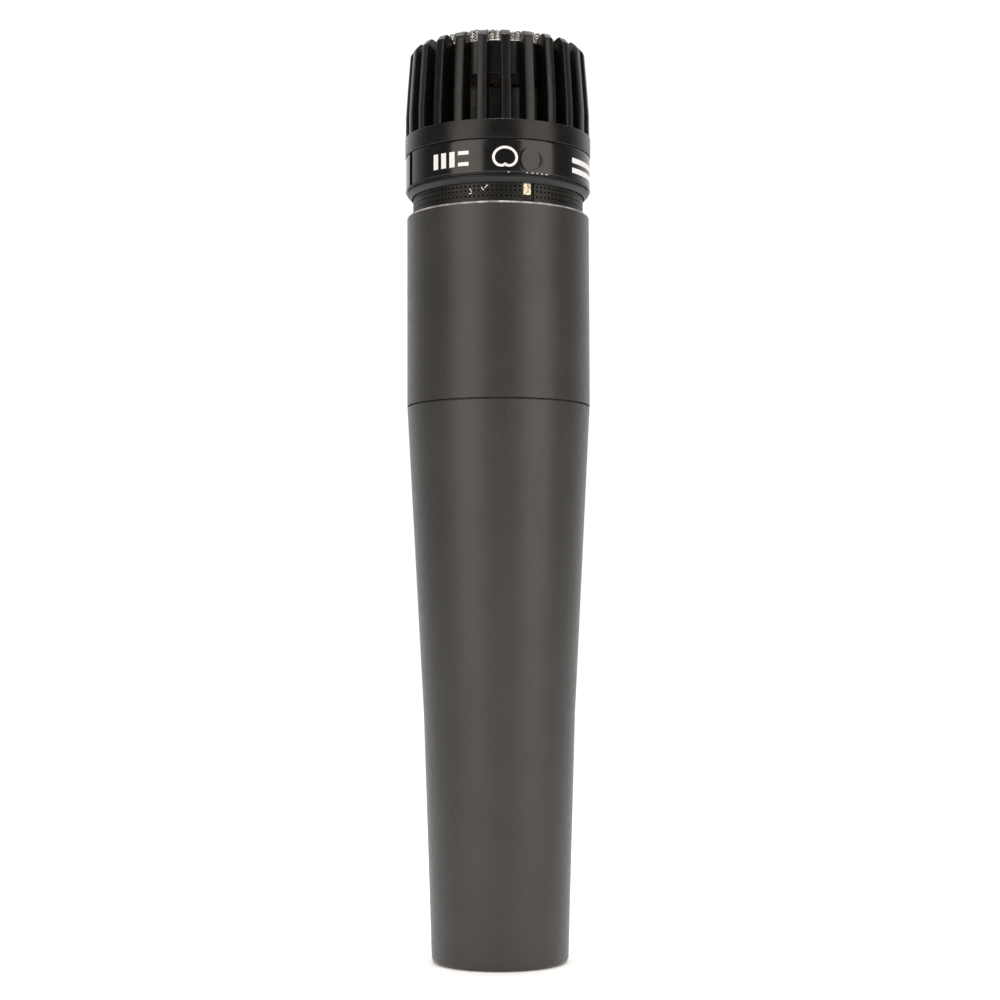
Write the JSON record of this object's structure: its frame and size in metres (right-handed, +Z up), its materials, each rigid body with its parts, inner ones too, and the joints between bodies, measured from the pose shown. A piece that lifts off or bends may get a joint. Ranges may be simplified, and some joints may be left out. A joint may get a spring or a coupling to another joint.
{
  "type": "dynamic microphone",
  "caption": "Handheld dynamic microphone: tapered metal handle with a three-contact socket, screw-on barrel, sprung cartridge and a finned head that turns.",
  "frame": {"origin": "centre of the foot, where the microphone stands on its socket end", "axes": "+Z up the axis from the foot to the wire screen, -Y the front with the polar-pattern mark, +X to the right of it"},
  "size_m": [0.0322, 0.0322, 0.1574],
  "materials": {
    "aluminium": "turned",
    "black_plastic": "black moulded plastic, semi-gloss",
    "board": "brown laminate",
    "brass": "turned brass",
    "ceramic_magnet": "ground magnet alloy",
    "cloth": "fine black acoustic cloth",
    "contact_metal": "bright plated contacts",
    "copper_wire": "enamelled copper wire under amber tape",
    "enamel": "dark warm-grey enamel, fine satin texture",
    "film": "thin clear film",
    "foam": "dark open-cell filter",
    "insulator": "black insulating plastic",
    "label_film": "glossy black with plain white marks",
    "lead_black": "black insulation",
    "lead_green": "green insulation",
    "lead_red": "red insulation",
    "lead_yellow": "yellow insulation",
    "perforated_metal": "black painted, worn bright at one spot",
    "resin": "amber potting",
    "rubber": "soft black rubber",
    "satin_ring": "satin dark grey",
    "steel": "machined steel",
    "wire": "bright woven wire"
  },
  "bodies": {
    "handle": {"handle_shell": "enamel", "connector_insert": "insulator", "contact_pin_1": "contact_metal", "contact_pin_2": "contact_metal", "contact_pin_3": "contact_metal", "connector_screw": "steel", "ground_clip": "contact_metal", "transformer_core": "steel", "transformer_bobbin": "insulator", "transformer_winding": "copper_wire", "potting_compound": "resin", "output_lead_1": "lead_red", "output_lead_2": "lead_black", "input_lead_1": "lead_yellow", "input_lead_2": "lead_green"},
    "washer": {"seam_washer": "insulator"},
    "barrel": {"barrel_shell": "enamel", "threaded_collar": "aluminium", "mount_ring": "aluminium", "shock_mount": "rubber", "retaining_ring": "steel"},
    "cartridge": {"chamber_tube": "aluminium", "terminal_board": "board", "terminal_lug_1": "contact_metal", "terminal_lug_2": "contact_metal", "cartridge_base": "aluminium", "port_cage": "brass", "port_cloth": "cloth", "rear_port_ring": "perforated_metal", "joint_tab": "brass", "head_seat": "aluminium", "swivel_ring": "steel", "magnet_cup": "steel", "magnet": "ceramic_magnet", "pole_piece": "steel", "top_plate": "steel", "diaphragm_ring": "brass", "resonator_cap": "brass"},
    "diaphragm": {"diaphragm": "film", "voice_coil": "copper_wire"},
    "head": {"grille_cap": "black_plastic", "head_ring": "satin_ring", "label_band": "label_film", "screen_rim": "wire", "wire_screen": "wire", "filter_disc": "foam"}
  },
  "joints": [
    {"name": "barrel_turn", "type": "hinge", "parent": "handle", "child": "washer", "pos_m": [0, 0, 0.0945], "axis": [0, 0, 1], "range_deg": [0, 1890]},
    {"name": "barrel_lift", "type": "slide", "parent": "washer", "child": "barrel", "axis": [0, 0, 1], "range_m": [0, 0.00656]},
    {"name": "shock_travel", "type": "slide", "parent": "barrel", "child": "cartridge", "axis": [0, 0, 1], "range_m": [-0.0006, 0.0006], "stiffness_N_per_m": 4000, "springref_m": 0.00014, "deforming": ["shock_mount"]},
    {"name": "head_spin", "type": "hinge", "parent": "cartridge", "child": "head", "pos_m": [0, 0, 0.137], "axis": [0, 0, 1], "continuous": true},
    {"name": "diaphragm_travel", "type": "slide", "parent": "cartridge", "child": "diaphragm", "axis": [0, 0, 1], "range_m": [-0.0002, 0.0002], "stiffness_N_per_m": 200, "springref_m": 0.00001}
  ],
  "couplings": [
    {"joint": "barrel_turn", "follows": "barrel_lift", "rad_per_m": 5026.5}
  ]
}
